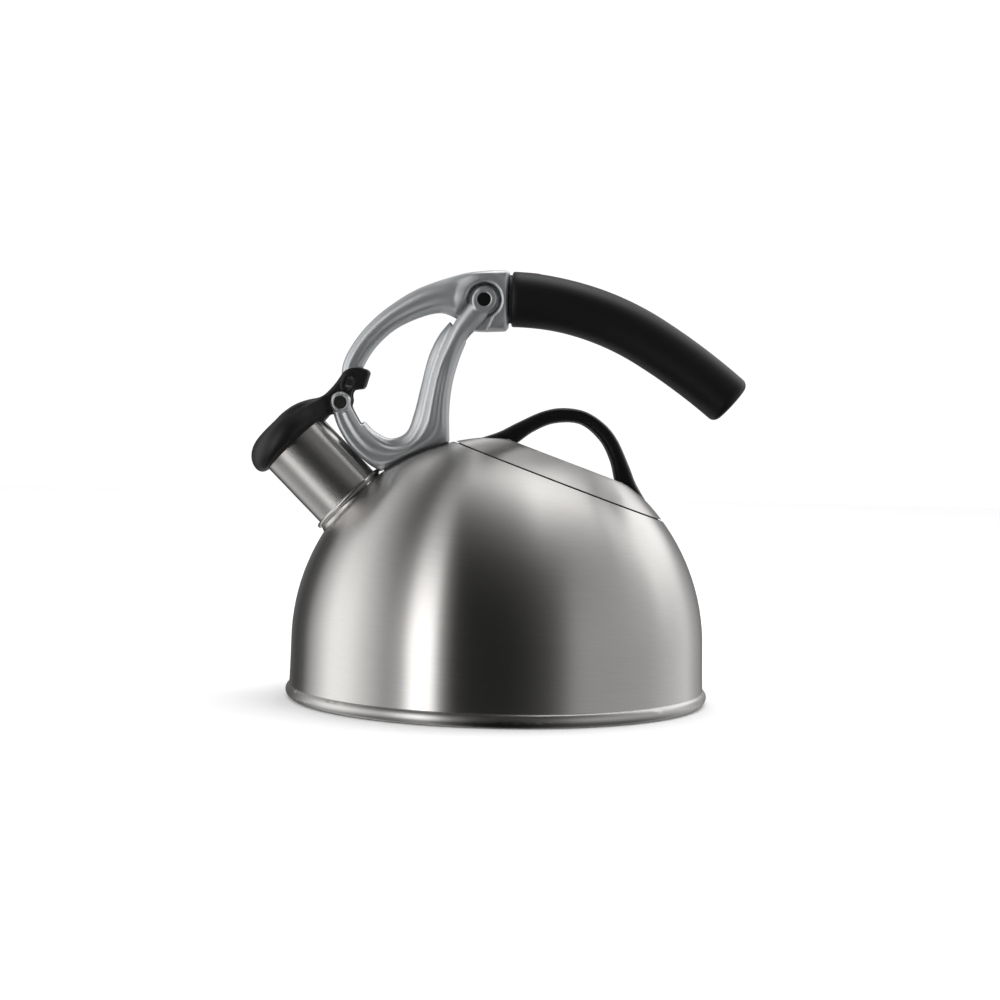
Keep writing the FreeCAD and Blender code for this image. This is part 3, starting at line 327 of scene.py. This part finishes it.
# ---- Handle arm ----
def handle_arm():
    """Casting with a tapering beam, and a head that has a rim round the bracket's eye."""
    top = smooth(from_foot((-36.1, 33.6), (-35.5, 41.6), (-32.1, 49.6), (-25.3, 59.2), (-14.9, 69.0),
                           (0.4, 78.7), (19.3, 85.3), (33.0, 87.3), (41.4, 87.5)))
    low = smooth(from_foot((32.0, 58.7), (27.0, 58.9), (22.2, 60.7), (18.4, 64.4), (10.2, 67.0), (-0.3, 64.2),
                           (-11.3, 58.4), (-20.1, 49.8), (-25.9, 40.0), (-28.6, 32.5)))
    end = [(HEAD_X - 0.6, FOOT[1] + 87.4), (HEAD_X, FOOT[1] + 86.4), (HEAD_X, FOOT[1] + 61.0),
           (HEAD_X - 1.4, FOOT[1] + 59.2)]
    axes, (x, y, z) = grid((-79, -11.5, 143), (4, 11.5, 205))
    x2, z2 = side_view(x, z)
    y3 = np.abs(y)
    tip = distance_from(LINK, x2, z2) - ARM_TIP_R
    shape = soft_min(outline_distance(top + end + low, x2, z2), tip, 0.8)
    hub = distance_from(PIVOT, x2, z2)

    # The beam grows from its tip to its head, and has one crest near its top and one near its foot.
    lean = math.radians(ARM_LEAN)
    run = (x2 - FOOT[0]) * math.cos(lean) + (z2 - FOOT[1]) * math.sin(lean)
    grow = ease((run - 4) / 62)
    to_top = run_distance(top, x2, z2)
    to_low = run_distance(low, x2, z2)
    share = to_top / (to_top + to_low + 1e-6)
    width = 4.6 + 4.6 * grow
    round_over = np.sqrt(np.clip(1 - np.abs(2 * share - 1) ** 2.4, 0, 1))
    upper = np.exp(-((share - 0.34) / 0.24) ** 2)
    lower = np.exp(-((share - 0.80) / 0.16) ** 2)
    beam = width * (0.45 + 0.55 * round_over) + (0.45 + 0.75 * grow) * (upper + 1.2 * lower - 0.9)
    head = np.maximum(9.0 - 0.25 * np.maximum(hub - 12.5, 0), 8.6)
    toward_head = ease((x2 - (PIVOT[0] - 20)) / 17)
    height = beam * (1 - toward_head) + head * toward_head

    # The rim round the eye fades out as it goes round to the beam.
    lip = 10.1 - 0.16 * np.maximum(hub - 9.5, 0) ** 1.6 - 1.2 * np.clip(9.3 - hub, 0, 2) ** 2
    angle = (np.degrees(np.arctan2(z2 - PIVOT[2], x2 - PIVOT[0])) + 75) % 360
    fade = 1.1 * ease((angle - 165) / 75) + 1.9 * ease((angle - 240) / 60)
    lip = lip - fade * ease((360 - angle) / 30)
    height = soft_max(height, lip, 2.2)
    edge = 2.2 + 1.6 * (1 - toward_head)
    height = height - (height * 0.42) * (1 - np.sqrt(1 - (1 - np.clip(-shape / edge, 0, 1)) ** 2)) * 0.8
    field = soft_max(widen(shape, y), y3 - widen(height, 0), 1.6)

    # Its pocket holds the bracket's eye and upright, and a groove rings the eye.
    leg = outline_distance(from_foot((24.6, 77.6), (35.5, 66.0), (29.0, 49.0), (8.0, 44.6), (15.4, 62.6)),
                           x2, z2)
    pocket = soft_min(hub - POCKET_R, leg, 0.6)
    field = np.maximum(field, -soft_max(widen(pocket, y), (BRACKET_GAP - 0.3) - y3, 0.5))
    groove = np.abs(hub - GROOVE_R) - GROOVE_HALF_W
    field = np.maximum(field, -np.maximum(widen(groove, y), GROOVE_FLOOR - y3))
    piece = surface("handle_arm_casting", field, axes)
    return finish_piece(piece, "handle", "cast_metal", "handle_arm")


# ---- Spout lid ----
def puck(across, along, y):
    """The cap's round head: a disc with a full, rounded edge above and a smaller one below."""
    edge_r, edge_h = 12.0, 10.0
    side = np.hypot(across - (SPOUT_X + CAP_OFFSET), y) - CAP_R
    above = along - (MOUTH_S + CAP_T)
    edge = np.hypot(np.maximum(side + edge_r, 0) / edge_r, np.maximum(above + edge_h, 0) / edge_h)
    field = np.where((side > -edge_r) & (above > -edge_h), (edge - 1) * 10.5, np.maximum(side, above))
    return soft_max(field, (MOUTH_S + CAP_LIFT) - along, 4.4)


def spout_cap():
    """Cap and lever in one moulding, forked for the arm's tip and recessed for the bracket's cheeks."""
    axes, (x, y, z) = grid((-120.5, -22, 102), (-60.5, 22, 158.5))
    x2, z2 = side_view(x, z)
    y3 = np.abs(y)
    across, along = spout_coordinates(x, z)
    from_tube = np.hypot(across - SPOUT_X, y)
    top = smooth(from_foot((-60.0, 15.0), (-54.0, 20.5), (-49.8, 23.6), (-46.4, 25.2), (-43.5, 27.2),
                           (-40.6, 30.2), (-38.0, 33.4), (-34.5, 38.4), (-31.0, 40.1), (-27.0, 40.3),
                           (-23.2, 39.3)))
    heel = from_foot((-22.3, 37.9), (-24.2, 31.4), (-25.3, 30.2))
    under = smooth(from_foot((-29.5, 29.6), (-30.4, 27.6), (-30.3, 23.5), (-32.9, 18.8), (-37.6, 18.0),
                             (-41.0, 18.4), (-43.7, 17.0), (-54.0, 8.0)))
    lever = outline_distance(top + heel + under, x2, z2)
    width = 11.0 - 5.0 * ease((x2 - FOOT[0] + 54) / 12)
    height = pad(lever, 0.80, 1, 1.8) * width
    arm = soft_max(widen(lever, y), y3 - widen(height, 0), 1.6)
    off_tube = np.maximum(from_tube - (TUBE_R + CAP_CLEAR), along - (MOUTH_S + 0.9))
    arm = np.maximum(arm, -off_tube)
    field = soft_min(puck(across, along, y), arm, 7.0)

    # The link pin's slot, with a raised rim on each side.
    slot_run = [(LINK[0] - 0.4, LINK[1] - LINK_R), (LINK[0] + 0.3, LINK[1] + 0.5)]
    slot = run_distance(slot_run, x2, z2)
    rim = 0.45 * np.exp(-((slot - 2.7) / 0.5) ** 2)
    field = field - widen(rim, 0) * (y3 > 4)
    field = np.maximum(field, -widen(slot - SLOT_HALF_W, y))

    # The fork's gap, room for the bracket's cheeks, the pin's hole and the seat over the whistle.
    gap = outline_distance(from_foot((-38.9, 15.6), (-39.9, 25.6), (-40.2, 30.6), (-41.2, 44.0),
                                     (-24.8, 44.0), (-26.6, 33.1), (-28.8, 27.6), (-28.8, 15.6)), x2, z2)
    field = np.maximum(field, -soft_max(widen(gap, y), y3 - LEVER_HALF_GAP, 0.4))
    cheeks = outline_distance(from_foot((-44.5, 10.0), (-41.6, 22.0), (-38.6, 28.4), (-33.0, 29.6),
                                        (-28.0, 24.0), (-20.0, 10.0)), x2, z2)
    field = np.maximum(field, -np.maximum(widen(cheeks, y), LEVER_HALF_W - y3))
    eye = distance_from(LEVER_PIVOT, x2, z2)
    field = np.maximum(field, -widen(eye - LEVER_PIN_R, y))
    seat = np.maximum(from_tube - PLATE_R, along - (MOUTH_S + SEAT_DEPTH))
    field = np.maximum(field, -seat)
    piece = surface("spout_cap_moulding", field, axes)
    return finish_piece(piece, "spout_lid", "cap_plastic", "spout_cap")


# ---- Lid handle ----
def lid_handle():
    """Loop handle, shaped in the lid's own frame and cut to sit on the lid."""
    axes, (x, y, w) = grid((-43, -9.5, 82), (43, 9.5, 119))
    apex, under = LID_TOP_W + 25.3, LID_TOP_W + 18.8
    toe, ankle = 41.5, 25.0  # outer and inner ends of each foot, from the lid's middle
    below_lid = 80  # the outline runs on down to here, and is cut to the lid
    crown = [(toe, 88.4), (34.4, apex - 23.2), (28.4, apex - 16.6), (19.0, apex - 7.2), (10.5, apex - 2.2)]
    arch = [(ankle, LID_TOP_W - 0.5), (19.4, under - 11.0), (11.4, under - 3.8)]
    outer = smooth([(-a, b) for a, b in crown] + [(0, apex)] + crown[::-1])
    inner = smooth([(-a, b) for a, b in arch] + [(0, under)] + arch[::-1])
    path = (outer + [(toe, below_lid), (ankle, below_lid)] + inner[::-1]
            + [(-ankle, below_lid), (-toe, below_lid)])
    x2, w2 = side_view(x, w)
    loop = outline_distance(path, x2, w2)
    waist = 8.5 - 1.6 * np.exp(-(x2 / 14.0) ** 2)
    height = pad(loop, 0.62, 1, 2.9) * waist
    field = soft_max(widen(loop, y), np.abs(y) - widen(height, 0), 1.6)

    # The lid that it sits on: a ball's skirt that rounds over to a flat top.
    r = np.hypot(x, y)
    ball = np.sqrt(r**2 + w**2) - DOME_R
    blend_w = LID_TOP_W - LID_BLEND_R
    flat_r = math.sqrt((DOME_R - LID_BLEND_R) ** 2 - blend_w ** 2)
    blend = np.hypot(np.maximum(r - flat_r, 0), np.maximum(w - blend_w, 0)) - LID_BLEND_R
    lid = np.maximum(ball, np.where(w > blend_w, blend, ball))
    field = np.maximum(field, -lid + 0.05)
    piece = surface("lid_loop_moulding", field, axes)
    tilt = Vector((0, 0, 1)).rotation_difference(LID_AXIS).to_matrix().to_4x4()
    piece.data.transform(Matrix.Translation((0, 0, DOME_Z * MM)) @ tilt)
    return finish_piece(piece, "lid", "loop_plastic", "lid_handle")


# ---- Grip ----
def grip_places(distances):
    """Centre and downward turn of the grip's centreline, as (x, z, angle), at distances along it."""
    places = []
    for distance in distances:
        x, z, heading = HEAD_X, PIVOT[2] + GRIP_RISE, 0.0
        for radius, angle in GRIP_BENDS:
            part = max(min(distance, radius * math.radians(angle)), 0)
            turn = part / radius
            dx, dz = radius * math.sin(turn), radius * (math.cos(turn) - 1)
            x += dx * math.cos(heading) + dz * math.sin(heading)
            z += dz * math.cos(heading) - dx * math.sin(heading)
            heading += turn
            distance -= part
        places.append((x, z, heading))
    return places


def grip_sleeve():
    """Soft sleeve: an oval swept along the centreline, its front edge eased and its tail rounded."""
    length = sum(radius * math.radians(angle) for radius, angle in GRIP_BENDS)
    start, tail_r, tail_taper, turns = 1.3, 3.6, 0.30, 96
    front = [(start, 0.86), (start + 0.05, 0.93), (start + 0.35, 0.975), (start + 1.0, 1.0)]
    middle = [(d, 1.0) for d in np.linspace(start + 3, length - 4.2, 120)]
    tail = [(length - tail_r + tail_r * math.sin(a), 1 - tail_taper * (1 - math.cos(a)))
            for a in np.linspace(0.1, 1.5, 9)]
    stations = front + middle + tail
    places = grip_places([d for d, _ in stations])
    points, faces = [], []
    for (d, size), (cx, cz, heading) in zip(stations, places):
        half_h = (GRIP_HALF_H - 0.35 * ease(d / 30.0) - 0.65 * d / length) * size
        half_w = GRIP_HALF_W * size
        for k in range(turns):
            a = 2 * math.pi * k / turns
            cy, cu = half_w * math.cos(a), half_h * math.sin(a)
            points.append((cx + cu * math.sin(heading), cy, cz + cu * math.cos(heading)))
    rings = len(stations)
    for i in range(rings - 1):
        for k in range(turns):
            j = (k + 1) % turns
            faces.append((i * turns + k, i * turns + j, (i + 1) * turns + j, (i + 1) * turns + k))
    faces.append(tuple(range(turns))[::-1])
    faces.append(tuple((rings - 1) * turns + k for k in range(turns)))
    piece = mesh_object("grip_sleeve_moulding", points, faces, relax=0)
    return finish_piece(piece, "handle", "grip_rubber", "grip_sleeve")


# ---- Materials ----
class Nodes:
    """A node tree, with short ways to add to it."""

    def __init__(self, tree):
        self.tree = tree

    def link(self, socket, value):
        if isinstance(value, bpy.types.NodeSocket):
            self.tree.links.new(value, socket)
        else:
            socket.default_value = value

    def node(self, kind, *inputs, out=0, **settings):
        made = self.tree.nodes.new("ShaderNode" + kind)
        for key, value in settings.items():
            setattr(made, key, value)
        for place, value in enumerate(inputs):
            if value is not None:
                self.link(made.inputs[place], value)
        return made.outputs[out]

    def named(self, kind, out=0, **inputs):
        made = self.tree.nodes.new("ShaderNode" + kind)
        for key, value in inputs.items():
            self.link(made.inputs[key.replace("_", " ")], value)
        return made.outputs[out]

    def maths(self, operation, a, b=0.0, c=0.0):
        return self.node("Math", a, b, c, operation=operation)

    def vector(self, operation, a, b=(0, 0, 0), out=0):
        return self.node("VectorMath", a, b, operation=operation, out=out)

    def noise(self, coordinates, scale, detail=3.0, rough=0.55):
        return self.named("TexNoise", Vector=coordinates, Scale=scale, Detail=detail, Roughness=rough)

    def between(self, value, low, high):
        """Maps a 0 to 1 value onto a range."""
        return self.node("MapRange", value, 0.0, 1.0, low, high)

    def ramp(self, value, stops):
        """Grey level for a 0 to 1 value, from (place, level) stops."""
        made = self.tree.nodes.new("ShaderNodeValToRGB")
        self.link(made.inputs["Fac"], value)
        points = made.color_ramp.elements
        while len(points) > 1:
            points.remove(points[0])
        for n, (place, level) in enumerate(stops):
            point = points[0] if n == 0 else points.new(place)
            point.position = place
            point.color = (level, level, level, 1)
        return made.outputs["Color"]

    def mix(self, share, a, b):
        made = self.tree.nodes.new("ShaderNodeMix")
        made.data_type = "RGBA"
        for name, value in (("Factor", share), ("A", a), ("B", b)):
            socket = next(s for s in made.inputs if s.name == name and s.enabled)
            self.link(socket, value)
        return next(s for s in made.outputs if s.enabled)

    def bump(self, height, strength, distance=0.0002):
        return self.named("Bump", Strength=strength, Distance=distance, Height=height)


class Shader(Nodes):
    """A material with a principled shader at its end."""

    def __init__(self, name, **settings):
        self.material = bpy.data.materials.new(name)
        self.material.use_nodes = True
        super().__init__(self.material.node_tree)
        self.end = self.tree.nodes["Principled BSDF"]
        self.set(**settings)

    def set(self, **settings):
        for key, value in settings.items():
            self.link(self.end.inputs[key.replace("_", " ")], value)

    def position(self):
        """Place on the object, in metres, which stays with the piece as it moves."""
        return self.node("TexCoord", out=3)


def brushed(name, tint, origin, axis, rough=(0.24, 0.38), stretch=0.95, grain=0.13):
    """Steel brushed round an axis: fine rings, with reflections drawn out across them."""
    s = Shader(name, Metallic=1.0)
    rel = s.vector("SUBTRACT", s.position(), origin)
    height = s.vector("DOT_PRODUCT", rel, axis, out=1)
    radial = s.vector("SUBTRACT", rel, s.node("VectorMath", axis, None, None, height, operation="SCALE"))
    radius = s.vector("LENGTH", radial, out=1)
    outward = s.vector("NORMALIZE", radial)
    round_axis = s.vector("CROSS_PRODUCT", axis, outward)
    tangent = s.vector("CROSS_PRODUCT", round_axis, s.node("NewGeometry", out=1))
    along = s.maths("SUBTRACT", height, radius)
    layers = []
    for per_metre, around in ((2200.0, 16.0), (800.0, 9.0)):
        rings = s.node("CombineXYZ", s.maths("MULTIPLY", along, per_metre), 0.0, 0.0)
        drift = s.vector("MULTIPLY", outward, (around,) * 3)
        layers.append(s.noise(s.vector("ADD", rings, drift), 1.0, 2.0, 0.7))
    lines = s.maths("ADD", s.maths("MULTIPLY", layers[0], 0.55), s.maths("MULTIPLY", layers[1], 0.45))
    broad = s.noise(s.vector("MULTIPLY", s.position(), (18.0, 18.0, 18.0)), 1.0, 2.0)
    dark = [c * (1 - grain) for c in tint]
    light = [min(c * (1 + grain), 1) for c in tint]
    s.set(Base_Color=s.mix(lines, (*dark, 1), (*light, 1)))
    blend = s.maths("ADD", s.maths("MULTIPLY", lines, 0.7), s.maths("MULTIPLY", broad, 0.3))
    s.set(Roughness=s.between(blend, *rough), Anisotropic=stretch, Tangent=tangent)
    s.set(Normal=s.bump(lines, 0.10))
    return s.material


def cast(name, tint, rough=(0.36, 0.46)):
    """Bead-blasted casting: fine pits and a slightly uneven sheen."""
    s = Shader(name, Metallic=0.9)
    fine = s.noise(s.position(), 5200.0, 2.0, 0.6)
    broad = s.noise(s.position(), 60.0, 2.0)
    s.set(Base_Color=s.mix(broad, (*[c * 0.96 for c in tint], 1), (*tint, 1)))
    s.set(Roughness=s.between(broad, *rough), Normal=s.bump(fine, 0.10, 0.0001))
    return s.material


def moulded(name, tint, rough, grain=0.12, scale=2600.0, specular=0.5):
    """Plastic or rubber: a fine moulded texture and patches of slightly different sheen."""
    s = Shader(name, Metallic=0.0, Specular_IOR_Level=specular)
    fine = s.noise(s.position(), scale, 3.0, 0.6)
    broad = s.noise(s.position(), 45.0, 3.0)
    s.set(Base_Color=s.mix(broad, (*[c * 0.8 for c in tint], 1), (*[c * 1.15 for c in tint], 1)))
    s.set(Roughness=s.between(broad, *rough), Normal=s.bump(fine, grain, 0.0001))
    return s.material


def steel(name, tint, rough=(0.22, 0.38)):
    """Plain turned or pressed steel."""
    s = Shader(name, Metallic=1.0)
    fine = s.noise(s.position(), 3000.0, 3.0)
    broad = s.noise(s.position(), 90.0, 3.0)
    s.set(Base_Color=s.mix(broad, (*[c * 0.88 for c in tint], 1), (*tint, 1)))
    s.set(Roughness=s.between(broad, *rough), Normal=s.bump(fine, 0.06, 0.0001))
    return s.material


def spout_origin():
    """A point on the spout's axis, in metres."""
    half = math.sqrt(0.5)
    return ((FOOT[0] + SPOUT_X * half) * MM, 0.0, (FOOT[1] + SPOUT_X * half) * MM)


UP = (0.0, 0.0, 1.0)
STEEL = (0.62, 0.605, 0.59)
MATERIALS = {  # one for each of the record's material slots
    "body_steel": brushed("body_steel", STEEL, (0, 0, 0), UP),
    "pan_steel": steel("pan_steel", (0.60, 0.59, 0.575), rough=(0.26, 0.34)),
    "spout_steel": brushed("spout_steel", STEEL, spout_origin(), tuple(SPOUT_AXIS), rough=(0.22, 0.30)),
    "lid_steel": brushed("lid_steel", STEEL, (0, 0, DOME_Z * MM), tuple(LID_AXIS)),
    "inner_steel": steel("inner_steel", (0.50, 0.50, 0.49)),
    "disc_aluminium": cast("disc_aluminium", (0.66, 0.66, 0.67)),
    "cast_metal": cast("cast_metal", (0.63, 0.645, 0.66)),
    "pin_steel": steel("pin_steel", (0.10, 0.10, 0.095), rough=(0.35, 0.5)),
    "pin_cap": moulded("pin_cap", (0.003, 0.003, 0.003), (0.35, 0.5), specular=0.25),
    "cap_plastic": moulded("cap_plastic", (0.005, 0.005, 0.0055), (0.38, 0.48), specular=0.4),
    "loop_plastic": moulded("loop_plastic", (0.004, 0.004, 0.004), (0.30, 0.40), grain=0.06, specular=0.3),
    "grip_rubber": moulded("grip_rubber", (0.004, 0.004, 0.0045), (0.42, 0.50), scale=1800.0, specular=0.30),
    "ring_plastic": moulded("ring_plastic", (0.006, 0.006, 0.006), (0.5, 0.6)),
    # The nylon washers at the handle's pivot are near black; this is partly their own colour and partly
    # painted shade for the shadow gap round the hub.
    "nylon": moulded("nylon", (0.05, 0.05, 0.05), (0.45, 0.55)),
    "silicone": moulded("silicone", (0.02, 0.02, 0.02), (0.5, 0.65)),
    "inlay_plastic": moulded("inlay_plastic", (0.34, 0.045, 0.02), (0.35, 0.45)),
    "whistle_steel": steel("whistle_steel", (0.55, 0.54, 0.52)),
}


def paint(obj, slot_name):
    obj.data.materials.clear()
    obj.data.materials.append(MATERIALS[slot_name])


# ---- Studio ----
def studio():
    """A plain white floor. It shows and takes shadows, and the steel mirrors the walls instead."""
    half = 3.0
    floor = bpy.data.objects.new("floor", bpy.data.meshes.new("floor"))
    corners = [(-half, -half, 0), (half, -half, 0), (half, half, 0), (-half, half, 0)]
    floor.data.from_pydata(corners, [], [(0, 1, 2, 3)])
    bpy.context.scene.collection.objects.link(floor)
    s = Shader("floor_white", Specular_IOR_Level=0.0)
    shade = s.noise(s.position(), 2.0, 2.0)
    s.set(Base_Color=s.mix(shade, (0.93, 0.93, 0.93, 1), (0.95, 0.95, 0.95, 1)), Roughness=1.0)
    floor.data.materials.append(s.material)
    floor.visible_glossy = False


# Brightness of the studio's upright banks of light and dark, by half the angle from straight
# ahead of the kettle, in degrees, + to the grip side. That is the face of the body that mirrors each.
WALLS = [(-90, 0.25), (-73, 0.06), (-66, 0.10), (-58, 0.75), (-51, 1.5), (-44, 1.45), (-38, 1.0),
         (-31, 0.50), (-26, 0.60), (-22.5, 2.6), (-17.5, 2.6), (-15.5, 0.35), (-12, 0.03), (-5, 0.01),
         (3, 0.01), (9, 0.03), (14, 0.08), (18, 0.2), (21, 0.42), (24, 0.50), (45, 0.51), (54, 0.62),
         (64, 0.85), (70, 0.5), (80, 0.2), (90, 0.3)]
BRIGHTEST = 3.0  # the ramp holds levels up to 1, so they are scaled by this
CEILING_SHARE = 0.10  # the ceiling's brightness, as a share of the walls', except on the grip side
CEILING_RISE = (0.25, 0.85)  # upward part of a direction, where the ceiling starts and is whole
GRIP_SIDE = (0.25, 0.75)  # half-angles, in radians, over which the ceiling's dimming ends
GROUND_SHARE = 0.25  # brightness towards the ground, as a share of the walls'
GROUND_DROP = (-0.75, -0.2)  # upward part of a direction, where the ground is whole and ends
SKY_LIGHT = 1.04  # even light from all round, which keeps the floor white


def world():
    """Plain white behind and even white light; reflections see studio walls of light and dark."""
    made = bpy.data.worlds.new("studio")
    bpy.context.scene.world = made
    made.use_nodes = True
    w = Nodes(made.node_tree)
    w.tree.nodes.clear()
    split = w.tree.nodes.new("ShaderNodeSeparateXYZ")
    w.link(split.inputs[0], w.node("TexCoord", out=0))
    turn = w.maths("ARCTAN2", split.outputs["X"], w.maths("SUBTRACT", 1.0, split.outputs["Y"]))
    share = w.node("MapRange", turn, -math.pi / 2, math.pi / 2, 0.0, 1.0)
    walls = w.ramp(share, [((degrees + 90) / 180, level / BRIGHTEST) for degrees, level in WALLS])
    height = w.node("MapRange", split.outputs["Z"], *CEILING_RISE, 1.0, CEILING_SHARE)
    side = w.node("MapRange", turn, *GRIP_SIDE, 0.0, 1.0)
    level = w.maths("MAXIMUM", height, side)
    ground = w.node("MapRange", split.outputs["Z"], *GROUND_DROP, GROUND_SHARE, 1.0)
    level = w.maths("MULTIPLY", level, ground)
    mirrored = w.node("Background", walls, w.maths("MULTIPLY", level, BRIGHTEST))
    even = w.node("Background", (1, 1, 1, 1), SKY_LIGHT)
    glossy = w.node("LightPath", out=3)
    light = w.node("MixShader", glossy, even, mirrored)
    out = w.tree.nodes.new("ShaderNodeOutputWorld")
    w.link(out.inputs["Surface"], light)


def area_light(name, place, target, size, power):
    data = bpy.data.lights.new(name, "AREA")
    data.shape = "RECTANGLE"
    data.size, data.size_y = size
    data.energy = power
    lamp = bpy.data.objects.new(name, data)
    lamp.location = place
    lamp.rotation_euler = (Vector(target) - Vector(place)).to_track_quat("-Z", "Y").to_euler()
    lamp.visible_camera = False
    bpy.context.scene.collection.objects.link(lamp)


def lights():
    centre = (0.0, 0.0, 0.1)
    area_light("overhead", (0.25, 0.35, 1.3), centre, (1.0, 0.8), power=6)
    area_light("right_back", (1.3, 1.0, 1.1), centre, (1.6, 1.2), power=5)


CAMERA_PLACE = (0, -0.887043, 0.124353)
CAMERA_DOWN, CAMERA_ROLL = 0.0339, 0.0227  # radians below level, and about its own view
CAMERA_LENS, CAMERA_SENSOR = 67.01, 36.0


def camera():
    data = bpy.data.cameras.new("camera")
    data.sensor_width = CAMERA_SENSOR
    data.lens = CAMERA_LENS
    cam = bpy.data.objects.new("camera", data)
    turn = Matrix.Rotation(math.pi / 2 - CAMERA_DOWN, 4, "X") @ Matrix.Rotation(CAMERA_ROLL, 4, "Z")
    cam.matrix_world = Matrix.Translation(CAMERA_PLACE) @ turn
    bpy.context.scene.collection.objects.link(cam)
    bpy.context.scene.camera = cam


def build():
    slots = {part["node"]: part["material_slot"] for part in frame["record"]["subparts"]}
    for name, node in frame["nodes"].items():
        paint(node, slots[name])
    for make in (bracket, handle_arm, spout_cap, lid_handle, grip_sleeve):
        piece = make()
        paint(piece, piece["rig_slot"])
    studio()
    world()
    lights()
    camera()


bpy.context.scene.view_settings.view_transform = "Standard"
build()
